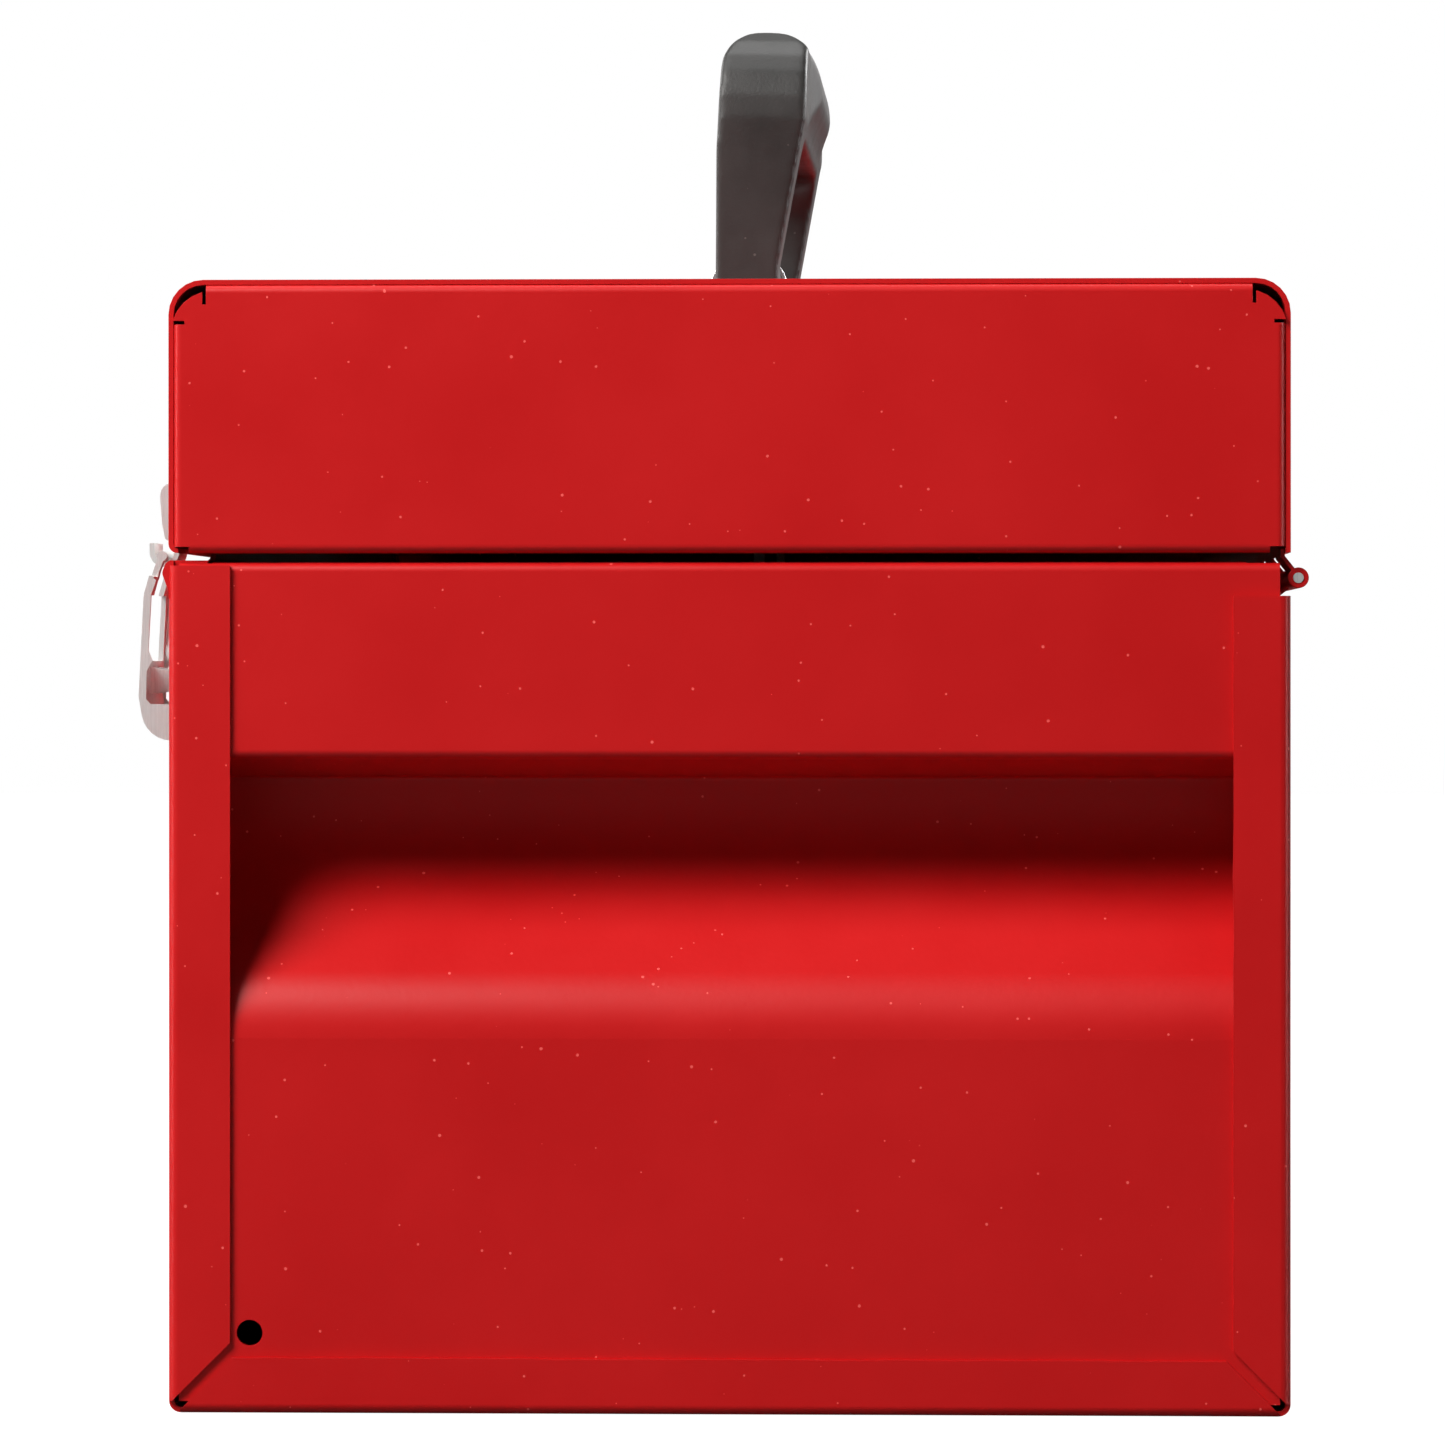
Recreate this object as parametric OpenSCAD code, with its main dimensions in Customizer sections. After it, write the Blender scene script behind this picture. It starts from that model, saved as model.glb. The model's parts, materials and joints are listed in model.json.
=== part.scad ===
// Sheet-steel hand toolbox with a hinged lid, two toggle latches, a folding handle and a lift-out tray.
// X runs along the hinge, the latches face -Y, Z is up, and the origin is the centre of the base.

/* [Box] */
// Length along the hinge
box_l = 508; // [420:1:600]
// Depth from front to back
box_d = 216; // [205:1:240]
// Height of the closed lid's top
lid_top = 218.5; // [212:0.5:235]
// Thickness of the box's sheet steel
sheet = 1.0; // [0.8:0.1:1.2]

/* [Ends] */
// Depth of the hand recess
recess = 29; // [20:1:32]
// Height of the fold that the recess hangs from
ledge_z = 126.4; // [120:0.1:128]
// Height where the recess comes back out flush
recess_z = 79.8; // [60:0.1:90]

/* [Handle] */
// Overall length of the handle
handle_l = 150; // [120:1:180]
// Height of the handle above its pivot
handle_h = 57.2; // [50:0.1:65]
// Backward lean of the raised handle, in degrees
handle_lean = 1.2; // [0:0.1:5]

/* [Latches] */
// Distance of each latch from the middle of the box
latch_x = 207; // [100:1:215]
// Width of a latch lever
lever_w = 34; // [32:1:40]

/* [Tray] */
// Gap between the tray's end and the box's end
tray_end_gap = 12; // [11:1:20]
// Gap between the tray's side and the box's side
tray_side_gap = 9.5; // [9:0.5:16]
// Height of the tray's walls
tray_h = 38; // [30:1:38]

/* [Hidden] */
$fn = 48;
half_l = box_l / 2;
half_d = box_d / 2;
fit = 0.05; // running clearance
over = 1; // overlap that joins or cuts cleanly

rim_z = 164.4;
lid_z = 165.8;
bend = 2;
base_bend = 2.3;
crown = 6.7;
lip = 6;
lip_bend = 1.8;
upstand = 3;
upstand_end = 11.5;
flange_front = 12;
flange_back = 11;
flange_base = 10.7;
flange_top_front = 163.4;
back_wall_z = 157.5;
bead = 1.3;
bead_z = 158.6;
bead_cap = 1.5;
mitre_gap = 1.63;

panel_x = half_l - sheet;
panel_half = half_d - bend - fit;
panel_top = rim_z - 0.4;
panel_bend = 1.8;
rim_flange = 9;
rim_notch = lip + 2;
floor_bend = 18;
recess_rise = 14;
recess_bend = 22;
ledge_inner_z = ledge_z - 4.1;
drain_r = 2.5;
drain_in = 15.7;
drain_z = 15.5;

cap_x = half_l;
cap_bend = 1.6;
cap_flange = 8;
cap_corner = 8;
cap_half = half_d - sheet;
cap_top = lid_top - sheet;
slit = 0.7;
slit_reach = 2 * cap_flange + 4;
slit_y = cap_half - 6;
slit_z = cap_top - 7.3;
slit_depth = 3.8;
tab_half = cap_half + 0.4; // the corner tabs lap the edge of the lid's sheet
tab_top = cap_top - 1.2;

hinge_y = half_d + 1.6;
hinge_z = 161;
knuckle_r = 2;
hinge_pin_r = 1;
leaf_t = 0.8;
hinge_margin = 8;
knuckles = 20;
knuckle_pitch = (box_l - hinge_margin) / knuckles;
knuckle_gap = 0.35;
leaf_y = half_d - sheet;
body_leaf_margin = 12;
body_leaf_z = [138, 157];
body_tab_z = [150, 157.7];
lid_leaf_margin = 24;
lid_leaf_z = [165.4, 186];
lid_tab_z = [166.6, 165.2];

pivot_y = -2.5;
pivot_z = lid_top + 7.9;
strap_t = 1;
trunnion_r = 7.6;
strap_r = trunnion_r + fit + strap_t;
strap_w = 12;
strap_x = handle_l / 2 - 22;
strap_foot = 19;
strap_bend = 1;
leg_w = 14;
leg_half = 6.85;
leg_below = 10;
handle_d = 20;
swell = 12.2;
grip_swell = 14.9;
grip_h = 24;
grip_corner = 20;
gap_corner = 10;
palm_x = [38, 54];
palm_bend = 30;
trunnion_l = 18;
trunnion_root = 2;
arc_steps = 16;
rivet_r = 2;
rivet_head = [3.6, 1.8];
rivet_tail = 1;
tail_spread = 1.4;
strap_rivet_y = 13.9;
backing = [handle_l + 8, 50, 1];

base_t = 0.7;
base_w = 29;
base_foot_z = 137.2;
curl_w = 7;
curl_r = 2.15;
curl_bore = 12;
wire_r = 0.8;
leg_wire = 0.9;
link_o = 3.3;
link_z = 146.8;
toggle_o = 2.6;
toggle_z = 141;
link_half = 9;
hook_o = 5.35;
hook_z = 166.6;
hook_r = 2.95;
hook_half = 7;
hook_tip_z = 168.4;
hook_root_z = [172, 170.4];
strike_half = 15;
strike_z = [169, 180.4];
strike_corner = 5;
ear_t = 1.4;
ear_x = 14;
bar_z = 165.75;
bar_r = 1;
bar_l = 23;
lever_t = 1;
lever_foot_z = 129.3;
lever_top_z = 161.9;
lever_bend = 6;
post_w = 4;
window_z = [145, 158];
slot_half = hook_half + 1;
lug_t = 2.6;
lug_x = 5.6;
lug_r = 1.6;
lug_bore = 16;
lug_z = [138.4, 144];
arm_w = 3;
arm_x = 10;
arm_t = 1.2;
latch_rivet_r = 1.5;
latch_rivet_head = [1.95, 1.1];
latch_rivet_x = 12.2;
latch_rivet_z = 140.3;
strike_rivet_x = 8;
strike_rivet_z = 175.5;

tray_l = box_l - 2 * tray_end_gap;
tray_d = box_d - 2 * tray_side_gap;
tray_t = 0.8;
ledge_slope = (ledge_z - ledge_inner_z) / recess;
tray_z = ledge_inner_z + (tray_l / 2 - (panel_x - recess)) * ledge_slope + sheet + 0.1;
tray_floor = tray_z + tray_t;
tray_corner = 4;
hem_h = 5;
partition_t = 1;
partition_margin = 3;
partition_low = tray_floor + tray_h - 8;
partition_top = 200;
shoulder_x = [78, 130];
shoulder_bend = [14, 30];
bead_t = 3.4;
bead_x = 66;
bead_h = 6;
partition_foot = [340, 12, 1];
slot_w = 96;
slot_h = 26;
slot_corner = 12;
slot_drop = 9;
divider_t = 1;
divider_foot = 10;
divider_drop = 9;
divider_gap = 0.3;
divider_start = 13;
front_divider_x = 110;
back_divider_x = 60;
tray_rivet_x = [-150, -50, 50, 150];
tray_rivet_y = 7;
tray_rivet_r = 1.6;
tray_rivet_head = [3, 1.4];

red = "firebrick";
plate = "gainsboro";

// ---- sheet-metal outlines ----
function unit(v) = v / norm(v);
function left_of(v) = [-v.y, v.x];
function normal_at(p, i) = left_of(unit(p[i + 1] - p[i]));
function mitred(a, b) = (a + b) / (1 + a * b);
function offset_dir(p, i) =
    i == 0 ? normal_at(p, 0)
    : i == len(p) - 1 ? normal_at(p, i - 1)
    : mitred(normal_at(p, i - 1), normal_at(p, i));
function beside(p, t) = [for (i = [0 : len(p) - 1]) p[i] + t * offset_dir(p, i)];
function backwards(p) = [for (i = [len(p) - 1 : -1 : 0]) p[i]];
function turn(a) = a > 180 ? a - 360 : a < -180 ? a + 360 : a;
function arc(c, r, from, sweep, steps = 6) =
    [for (k = [0 : steps]) c + r * [cos(from + sweep * k / steps), sin(from + sweep * k / steps)]];
function corner(a, b, c, r) =
    let (u = unit(a - b), v = unit(c - b), half = acos(u * v) / 2, mid = b + unit(u + v) * r / sin(half))
    let (s = b + u * r / tan(half) - mid, e = b + v * r / tan(half) - mid)
    let (from = atan2(s.y, s.x))
    arc(mid, r, from, turn(atan2(e.y, e.x) - from));
// Path with the corner radii r, one for each point; the ends and zeros stay sharp
function rounded(p, r) =
    [for (i = [0 : len(p) - 1]) each r[i] == 0 ? [p[i]] : corner(p[i - 1], p[i], p[i + 1], r[i])];

// A bent sheet seen on edge: the path is one face, and the sheet lies to the path's left for positive t
module strip(path, t) {
    polygon(concat(path, backwards(beside(path, t))));
}

module along_x(length) {
    rotate([90, 0, 90]) linear_extrude(length, center = true) children();
}

module along_y(length) {
    rotate([90, 0, 0]) linear_extrude(length, center = true) children();
}

// Outline of (distance out from the front face, height), extruded along X
module on_front(length, x = 0) {
    translate([x, -half_d, 0]) mirror([0, 1, 0]) along_x(length) children();
}

module both_ends() {
    children();
    mirror([1, 0, 0]) children();
}

// Bend and flange along an edge that runs up Z, from a wall face at y = 0
module edge_flange(x, radius, stub, width, z0, z1) {
    path = rounded([[x - radius - stub, 0], [x, 0], [x, width]], [0, radius, 0]);
    translate([0, 0, z0]) linear_extrude(z1 - z0) strip(path, sheet);
}

// ---- body ----
module weld_flange(width, run) {
    difference() {
        edge_flange(half_l, bend, over, width, base_bend, run);
        along_x(box_l + 2 * over)
            polygon([[-over, mitre_gap - over], [width + over, width + over + mitre_gap],
                [width + over, 0], [-over, 0]]);
    }
}

module base_flange() {
    difference() {
        translate([0, half_d, 0]) rotate([90, 0, 0])
            edge_flange(half_l, bend, over, flange_base, base_bend, box_d - base_bend);
        for (s = [-1, 1])
            along_x(box_l + 2 * over)
                polygon([for (p = [[0, -over], [mitre_gap - over, -over],
                    [flange_base + over + mitre_gap, flange_base + over], [0, flange_base + over]])
                    [s * (half_d - p.x), p.y]]);
    }
}

module body_wrap() {
    rim = [[-half_d - 0.3, rim_z], [-half_d - bead, 162], [-half_d, bead_z]];
    rim_bends = [1.4, 1.6, 2];
    path = rounded(
        concat([[lip + 1 - half_d, rim_z + upstand], [lip + 1 - half_d, rim_z]], rim,
            [[-half_d, 0], [half_d, 0], [half_d, back_wall_z]]),
        concat([0, 1], rim_bends, [base_bend, base_bend, 0]));
    end_path = rounded(concat([[over - half_d, rim_z]], rim, [[-half_d, bead_z - 1.6]]),
        concat([0], rim_bends, [0]));
    color(red) union() {
        difference() {
            along_x(box_l - 2 * bend) strip(path, sheet);
            both_ends() translate([half_l - upstand_end, lip - half_d, rim_z])
                cube([upstand_end, 2 * over + sheet, upstand + over]);
        }
        along_x(box_l - 2 * over) strip(end_path, sheet);
        both_ends() {
            translate([half_l - over - bead_cap / 2, 0, 0]) along_x(bead_cap)
                polygon(concat(end_path, [[over - half_d, bead_z - 1.6]]));
            base_flange();
            translate([0, -half_d, 0]) weld_flange(flange_front, flange_top_front);
            translate([0, half_d, 0]) mirror([0, 1, 0]) weld_flange(flange_back, back_wall_z);
        }
    }
}

module end_panel(side) {
    path = rounded(
        [[panel_x, base_bend], [panel_x, recess_z], [panel_x - recess, ledge_inner_z - recess_rise],
            [panel_x - recess, ledge_inner_z], [panel_x, ledge_z], [panel_x, panel_top],
            [panel_x - rim_flange, panel_top]],
        [0, floor_bend, recess_bend, 1, panel_bend, panel_bend, 0]);
    color(red) mirror([side < 0 ? 1 : 0, 0, 0]) difference() {
        along_y(2 * panel_half) strip(path, sheet);
        for (s = [-1, 1])
            translate([panel_x - sheet - 0.1 - rim_flange / 2, s * (half_d - 0.5 - rim_notch / 2), rim_z])
                cube([rim_flange, rim_notch, 8], center = true);
        translate([panel_x, drain_in - half_d, drain_z]) rotate([0, 90, 0])
            cylinder(r = drain_r, h = 4 * sheet, center = true);
    }
}

// ---- hinge ----
function knuckle_x(i) = (i - (knuckles - 1) / 2) * knuckle_pitch;

module leaf(path, first, flat_l, z) {
    difference() {
        union() {
            translate([-flat_l / 2, leaf_y - leaf_t, z[0]]) cube([flat_l, leaf_t, z[1] - z[0]]);
            for (i = [first : 2 : knuckles - 1])
                translate([knuckle_x(i), 0, 0]) {
                    along_x(knuckle_pitch - knuckle_gap) strip(path, leaf_t);
                    translate([0, hinge_y, hinge_z]) rotate([0, 90, 0])
                        cylinder(r = knuckle_r, h = knuckle_pitch - knuckle_gap, center = true);
                }
        }
        translate([0, hinge_y, hinge_z]) rotate([0, 90, 0])
            cylinder(r = hinge_pin_r + fit, h = box_l, center = true);
    }
}

module hinge_body_leaf() {
    color(red) leaf([[leaf_y, body_tab_z[0]], [leaf_y, body_tab_z[1]], [hinge_y - 0.4, hinge_z - 1.6]],
        0, box_l - body_leaf_margin, body_leaf_z);
}

module hinge_lid_leaf() {
    color(red) leaf(
        backwards([[leaf_y, lid_tab_z[0]], [leaf_y, lid_tab_z[1]], [hinge_y - 0.6, hinge_z + 1.7]]),
        1, box_l - lid_leaf_margin, lid_leaf_z);
}

module hinge_pin() {
    color("silver") translate([0, hinge_y, hinge_z]) rotate([0, 90, 0])
        cylinder(r = hinge_pin_r, h = box_l - hinge_margin, center = true);
}

// ---- lid ----
module lid_wrap() {
    path = rounded(
        [[lip - half_d, lid_z], [-half_d, lid_z], [-half_d, lid_top], [half_d, lid_top], [half_d, lid_z]],
        [0, lip_bend, crown, crown, 0]);
    color(red) difference() {
        along_x(box_l - 2 * sheet) strip(path, -sheet);
        both_ends() translate([half_l - cap_flange - 2.5, sheet + 0.9 - half_d, lid_z - over])
            cube([cap_flange + 3, lip, 3 * over]);
        lid_rivet_holes(lid_top - sheet / 2);
    }
}

module lid_rivet_holes(z) {
    for (x = [-strap_x, strap_x])
        for (s = [-1, 1])
            translate([x, pivot_y + s * strap_rivet_y, z]) cylinder(r = rivet_r + fit, h = 3, center = true);
}

module lid_end(side) {
    color(red) mirror([side < 0 ? 1 : 0, 0, 0]) difference() {
        union() {
            translate([cap_x - sheet / 2, 0, 0]) along_x(sheet) difference() {
                polygon(rounded(
                    [[0, lid_z], [-tab_half, lid_z], [-tab_half, tab_top], [tab_half, tab_top],
                        [tab_half, lid_z], [0, lid_z]],
                    [0, 0, cap_corner, cap_corner, 0, 0]));
                for (s = [-1, 1])
                    translate([s * cap_half, 0]) square([2 * cap_bend, 2 * slit_z], center = true);
                translate([-slit_y, cap_top - cap_bend]) square([2 * slit_y, 2 * cap_bend]);
                translate([-cap_half, lid_z - cap_bend]) square([2 * cap_half, 2 * cap_bend]);
            }
            for (s = [0, 1])
                mirror([0, s, 0]) translate([0, -cap_half, 0])
                    edge_flange(cap_x, cap_bend, cap_flange, 2 * cap_bend, lid_z + 1.2, slit_z);
            translate([0, slit_y, cap_top]) rotate([-90, 0, 0]) mirror([0, 0, 1])
                edge_flange(cap_x, cap_bend, cap_flange, 2 * cap_bend, 0, 2 * slit_y);
            translate([0, cap_half - 3, lid_z]) rotate([90, 0, 0])
                edge_flange(cap_x, cap_bend, cap_flange, 2 * cap_bend, 0, 2 * cap_half - 6);
        }
        for (s = [-1, 1]) {
            translate([cap_x, s * slit_y, cap_top]) cube([slit_reach, slit, 2 * slit_depth], center = true);
            translate([cap_x, s * cap_half, slit_z]) cube([slit_reach, 4.4, slit], center = true);
        }
    }
}

// ---- handle ----
module strap_profile() {
    path = rounded(
        concat([[-strap_foot, lid_top + strap_t], [-strap_r, lid_top + strap_t]],
            arc([0, pivot_z], strap_r, 180, -180, arc_steps),
            [[strap_r, lid_top + strap_t], [strap_foot, lid_top + strap_t]]),
        concat([0, strap_bend], [for (k = [0 : arc_steps]) 0], [strap_bend, 0]));
    strip(path, -strap_t);
}

module handle_bracket(side) {
    color("silver") difference() {
        translate([side * strap_x, pivot_y, 0]) along_x(strap_w) strap_profile();
        lid_rivet_holes(lid_top + strap_t / 2);
    }
}

module handle_backing_plate() {
    color(red) difference() {
        translate([-backing.x / 2, pivot_y - backing.y / 2, lid_top - sheet - backing.z]) cube(backing);
        lid_rivet_holes(lid_top - sheet - backing.z / 2);
    }
}

// Rivet head: the size is its radius and its height
module dome(size) {
    ball = (size[0] * size[0] + size[1] * size[1]) / (2 * size[1]);
    intersection() {
        translate([0, 0, size[1] - ball]) sphere(r = ball);
        cylinder(r = size[0] + over, h = size[1]);
    }
}

// Rivet along Z whose plates lie between z = -grip and z = 0
module rivet(r, head, grip, tail_h) {
    dome(head);
    translate([0, 0, -grip]) cylinder(r = r, h = grip);
    translate([0, 0, -grip - tail_h]) cylinder(r = r * tail_spread, h = tail_h);
}

module handle_rivets() {
    color("silver")
        for (x = [-strap_x, strap_x])
            for (s = [-1, 1])
                translate([x, pivot_y + s * strap_rivet_y, lid_top + strap_t])
                    rivet(rivet_r, rivet_head, strap_t + sheet + backing.z, rivet_tail);
}

module handle_front() {
    outer = handle_l / 2;
    inner = outer - leg_w;
    gap_top = handle_h - grip_h;
    polygon(concat(
        rounded([[-outer, -leg_below], [-outer, handle_h], [outer, handle_h], [outer, -leg_below]],
            [0, grip_corner, grip_corner, 0]),
        rounded([[inner, -leg_below], [inner, gap_top], [-inner, gap_top], [-inner, -leg_below]],
            [0, gap_corner, gap_corner, 0])));
}

module handle_side() {
    polygon(concat(
        arc([0, 0], leg_half, 180, 180, arc_steps),
        rounded([[leg_half, 5], [swell, 38], [grip_swell, 43], [grip_swell - 1, handle_h],
            [-leg_half + 0.4, handle_h], [-leg_half - 0.4, 30], [-leg_half, 4]],
            [0, 20, 6, 11, 9.2, 30, 0])));
}

// Plan of the handle, with the swell that fills the palm
module handle_plan() {
    outer = handle_l / 2 + 1;
    polygon(rounded(
        [[0, -handle_d], [outer, -handle_d], [outer, swell], [palm_x[1], swell],
            [palm_x[0], grip_swell], [-palm_x[0], grip_swell], [-palm_x[1], swell], [-outer, swell],
            [-outer, -handle_d], [0, -handle_d]],
        [0, 0, 0, palm_bend, palm_bend, palm_bend, palm_bend, 0, 0, 0]));
}

module handle_grip() {
    color("dimgray") translate([0, pivot_y, pivot_z]) rotate([-handle_lean, 0, 0]) union() {
        intersection() {
            along_y(2 * handle_d) handle_front();
            along_x(handle_l + 2 * over) handle_side();
            translate([0, 0, -leg_below]) linear_extrude(handle_h + 2 * leg_below) handle_plan();
        }
        for (s = [-1, 1])
            translate([s * (handle_l / 2 - leg_w), 0, 0]) rotate([0, -90 * s, 0])
                translate([0, 0, -trunnion_root]) cylinder(r = trunnion_r, h = trunnion_l);
    }
}

// ---- latches ----
module latch_base(side) {
    x = side * latch_x;
    color(plate) difference() {
        union() {
            translate([x - base_w / 2, -half_d - base_t, base_foot_z])
                cube([base_w, base_t, link_z - base_foot_z]);
            on_front(curl_w, x) polygon([[0, 145], [base_t, 145], [2.2, 145.4], [link_o, link_z - 1.9],
                [link_o, link_z], [0, link_z]]);
            on_front(curl_w, x) translate([link_o, link_z]) circle(r = curl_r);
        }
        on_front(curl_bore, x) translate([link_o, link_z]) circle(r = wire_r + fit);
        front_rivet_holes([latch_rivet_x, latch_rivet_z], x);
    }
}

module front_rivet_holes(at, x) {
    for (s = [-1, 1])
        translate([x + s * at.x, -half_d, at.y]) rotate([90, 0, 0])
            cylinder(r = latch_rivet_r + fit, h = 3 * sheet, center = true);
}

module front_rivets(at, plate_t) {
    for (x = [-latch_x, latch_x])
        for (s = [-1, 1])
            translate([x + s * at.x, -half_d - plate_t, at.y]) rotate([90, 0, 0]) {
                dome(latch_rivet_head);
                translate([0, 0, -plate_t]) cylinder(r = latch_rivet_r, h = plate_t);
            }
}

module latch_base_rivets() {
    color(plate) front_rivets([latch_rivet_x, latch_rivet_z], base_t);
}

module strike_rivets() {
    color(plate) front_rivets([strike_rivet_x, strike_rivet_z], lever_t);
}

module latch_strike(side) {
    x = side * latch_x;
    hook = concat([[0, hook_root_z[0]], [0, hook_root_z[1]]],
        arc([hook_o, hook_z], hook_r, 180, 180, arc_steps), [[hook_o + hook_r, hook_tip_z]]);
    color(plate) difference() {
        union() {
            translate([x, -half_d, 0]) rotate([90, 0, 0]) linear_extrude(lever_t)
                polygon(rounded(
                    [[0, strike_z[0]], [-strike_half, strike_z[0]], [-strike_half, strike_z[1]],
                        [strike_half, strike_z[1]], [strike_half, strike_z[0]], [0, strike_z[0]]],
                    [0, 1, strike_corner, strike_corner, 1, 0]));
            on_front(2 * hook_half, x) strip(hook, lever_t);
            for (s = [-1, 1])
                on_front(ear_t, x + s * ear_x) polygon(rounded(
                    [[0, 169.4], [4.2, 168.6], [4.9, 172], [5.5, 180.2], [0, 180.2]], [0, 0.8, 0, 2.6, 0]));
        }
        front_rivet_holes([strike_rivet_x, strike_rivet_z], x);
    }
}

// Wire ring: its upper run turns in the base, its lower run in the lever
module latch_link(side) {
    x = side * latch_x;
    tilt = atan2(link_o - toggle_o, link_z - toggle_z);
    reach = norm([link_o - toggle_o, link_z - toggle_z]);
    color(plate) union() {
        for (p = [[link_o, link_z], [toggle_o, toggle_z]])
            translate([x, -half_d - p.x, p.y]) rotate([0, 90, 0])
                cylinder(r = wire_r, h = 2 * (link_half + wire_r), center = true);
        for (s = [-1, 1])
            translate([x + s * link_half, -half_d - toggle_o, toggle_z]) rotate([tilt, 0, 0])
                cylinder(r = leg_wire * wire_r, h = reach);
    }
}

module latch_window(half, z0, z1, x) {
    translate([x - half, -half_d - 12, z0]) cube([2 * half, 8, z1 - z0]);
}

module latch_lever(side) {
    x = side * latch_x;
    face = rounded([[0.6, lever_foot_z], [7.8, lever_foot_z], [9.3, 138], [8.3, 158], [7.2, lever_top_z]],
        [0, lever_bend, lever_bend, lever_bend, 0]);
    rim = concat(face, [[5.8, lever_top_z - 1], [6.8, 158], [7.4, 147], [6.6, 145], [7.7, 143], [7.8, 137.4],
        [7, 136.5], [0.6, 136.5]]);
    color(plate) difference() {
        union() {
            on_front(lever_w, x) strip(face, lever_t);
            for (s = [-1, 1])
                on_front(lever_t, x + s * (lever_w - lever_t) / 2) polygon(rim);
            for (s = [-1, 1])
                on_front(lug_t, x + s * lug_x) {
                    polygon([[8.6, lug_z[1]], [8.6, lug_z[0]], [toggle_o, toggle_z - lug_r],
                        [toggle_o, toggle_z + lug_r]]);
                    translate([toggle_o, toggle_z]) circle(r = lug_r);
                }
            for (s = [-1, 1])
                on_front(arm_w, x + s * arm_x)
                    strip([[7.4, lever_top_z - 0.5], [7, 163], [hook_o + 0.3, bar_z + 0.9]], arm_t);
            on_front(bar_l, x) translate([hook_o, bar_z]) circle(r = bar_r);
        }
        on_front(lug_bore, x) translate([toggle_o, toggle_z]) circle(r = wire_r + fit);
        latch_window(lever_w / 2 - post_w, window_z[0], window_z[1], x);
        latch_window(slot_half, window_z[0], bar_z - 2, x);
    }
}

// ---- tray ----
module rounded_block(l, d, h, r) {
    linear_extrude(h) polygon(rounded(
        [[0, -d / 2], [l / 2, -d / 2], [l / 2, d / 2], [-l / 2, d / 2], [-l / 2, -d / 2], [0, -d / 2]],
        [0, r, r, r, r, 0]));
}

module tray_pan() {
    color(red) translate([0, 0, tray_z]) difference() {
        union() {
            rounded_block(tray_l - 2 * tray_t, tray_d - 2 * tray_t, tray_h, tray_corner);
            translate([0, 0, tray_h - hem_h]) rounded_block(tray_l, tray_d, hem_h, tray_corner + tray_t);
        }
        translate([0, 0, tray_t])
            rounded_block(tray_l - 4 * tray_t, tray_d - 4 * tray_t, tray_h, tray_corner - tray_t);
        for (x = tray_rivet_x)
            translate([x, tray_rivet_y, 0]) cylinder(r = tray_rivet_r + fit, h = 5 * tray_t, center = true);
    }
}

module tray_partition() {
    half = tray_l / 2 - partition_margin;
    low = partition_low;
    top = partition_top;
    slot = slot_w / 2;
    slot_z = [top - slot_drop - slot_h, top - slot_drop];
    color(red) difference() {
        union() {
            along_y(partition_t) polygon(rounded(
                [[0, tray_floor], [half, tray_floor], [half, low], [shoulder_x[1], low], [shoulder_x[0], top],
                    [-shoulder_x[0], top], [-shoulder_x[1], low], [-half, low], [-half, tray_floor],
                    [0, tray_floor]],
                [0, 0, tray_corner, shoulder_bend[1], shoulder_bend[0], shoulder_bend[0], shoulder_bend[1],
                    tray_corner, 0, 0]));
            along_y(bead_t) polygon(rounded(
                [[-bead_x, top], [-bead_x, top - bead_h], [bead_x, top - bead_h], [bead_x, top]],
                [0, 2, 2, 0]));
            translate([-partition_foot.x / 2, 0, tray_floor]) cube(partition_foot);
        }
        along_y(bead_t + 2 * over) polygon(rounded(
            [[0, slot_z[0]], [slot, slot_z[0]], [slot, slot_z[1]], [-slot, slot_z[1]], [-slot, slot_z[0]],
                [0, slot_z[0]]],
            [0, slot_corner, slot_corner, slot_corner, slot_corner, 0]));
        for (x = tray_rivet_x)
            translate([x, tray_rivet_y, tray_floor])
                cylinder(r = tray_rivet_r + fit, h = 6 * partition_t, center = true);
    }
}

module tray_divider(x, y0, y1) {
    translate([x, y0, tray_floor]) {
        cube([divider_t, y1 - y0, tray_h - divider_drop]);
        cube([divider_foot, y1 - y0, divider_t]);
    }
}

module tray_dividers() {
    wall = tray_d / 2 - 2 * tray_t - divider_gap;
    color(red) {
        for (x = [-front_divider_x, front_divider_x])
            tray_divider(x, -wall, -partition_t / 2 - divider_gap);
        tray_divider(back_divider_x, divider_start, wall);
    }
}

module tray_rivets() {
    color("silver")
        for (x = tray_rivet_x)
            translate([x, tray_rivet_y, tray_floor + partition_foot.z]) {
                dome(tray_rivet_head);
                translate([0, 0, -partition_foot.z - tray_t])
                    cylinder(r = tray_rivet_r, h = partition_foot.z + tray_t);
            }
}

body_wrap();
end_panel(-1);  // end_panel_left
end_panel(1);  // end_panel_right
hinge_body_leaf();
hinge_pin();
latch_base(-1);  // latch_base_left
latch_base(1);  // latch_base_right
latch_base_rivets();
lid_wrap();
lid_end(-1);  // lid_end_left
lid_end(1);  // lid_end_right
hinge_lid_leaf();
latch_strike(-1);  // latch_strike_left
latch_strike(1);  // latch_strike_right
strike_rivets();
handle_bracket(-1);  // handle_bracket_left
handle_bracket(1);  // handle_bracket_right
handle_rivets();
handle_backing_plate();
handle_grip();
latch_link(-1);  // latch_link_left
latch_link(1);  // latch_link_right
latch_lever(-1);  // latch_lever_left
latch_lever(1);  // latch_lever_right
tray_pan();
tray_partition();
tray_dividers();
tray_rivets();
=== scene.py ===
import json
import math

import bmesh
import bpy
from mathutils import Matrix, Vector, noise


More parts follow.
